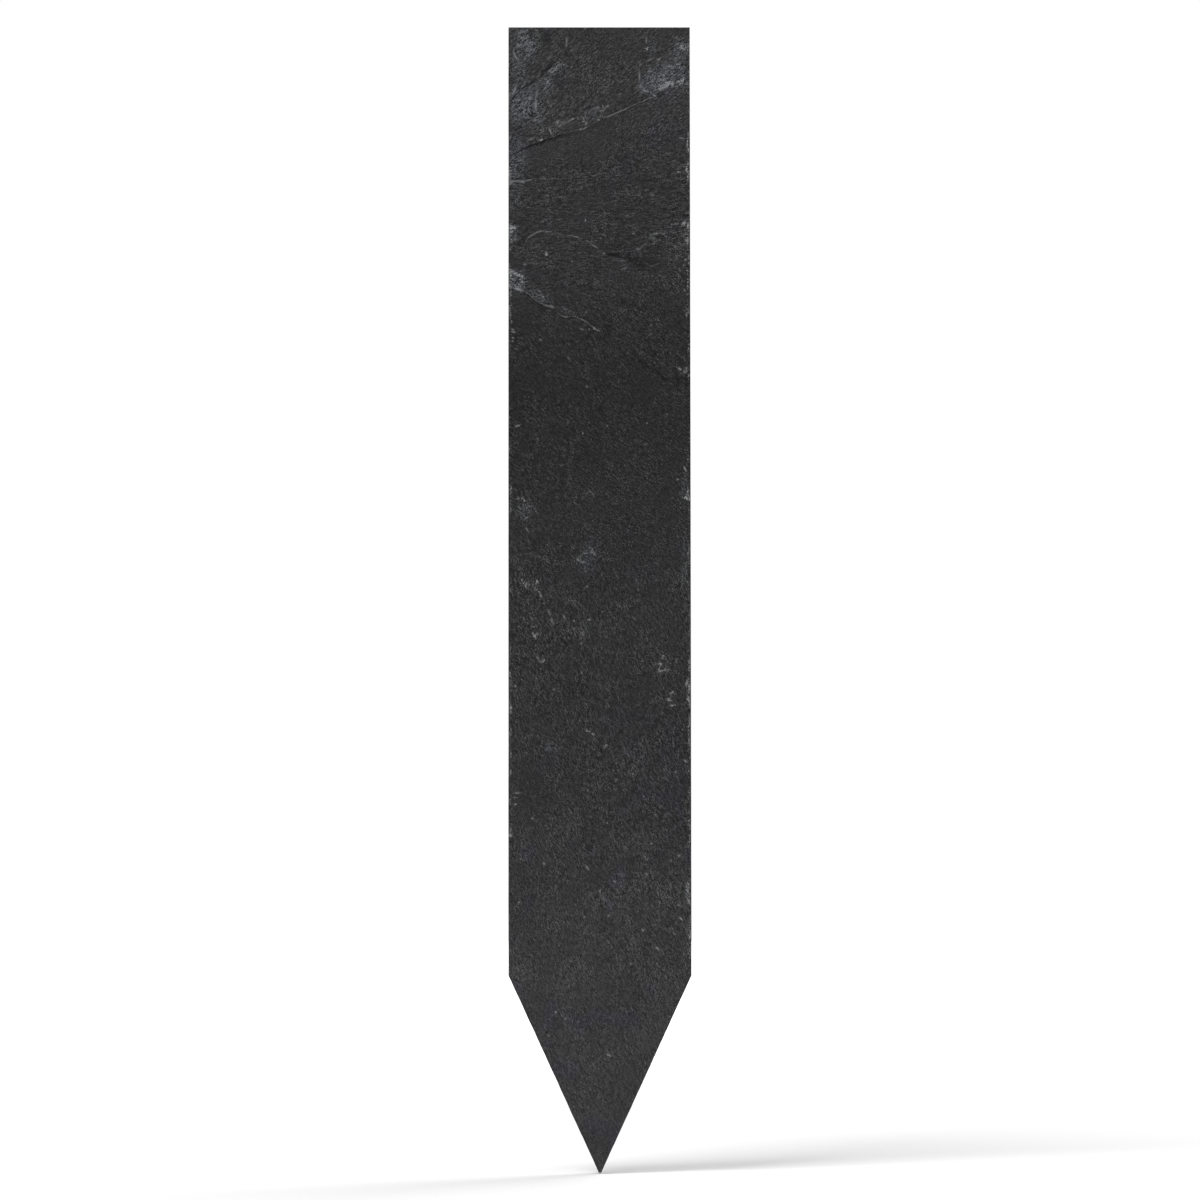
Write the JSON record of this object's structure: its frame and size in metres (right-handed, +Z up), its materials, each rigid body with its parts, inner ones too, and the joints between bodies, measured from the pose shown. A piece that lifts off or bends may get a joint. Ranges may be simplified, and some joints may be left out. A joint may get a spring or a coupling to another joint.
{
  "type": "plant label stake",
  "caption": "Flat slate plant label with riven faces, straight sawn sides, a square top to write under and a clipped point that is pushed into soil.",
  "frame": {"origin": "middle of the slab's section at the soil line, 60 mm above the tip", "axes": "+Z up the stake from the point to the top edge, +X across its width, +Y through its thickness; the face that is written on looks towards -Y"},
  "size_m": [0.04, 0.0056, 0.25],
  "materials": {
    "slate": "riven, matt, with pale dusty bruises along its broken steps and edges"
  },
  "bodies": {
    "root": {"slate_stake": "slate"}
  },
  "joints": []
}
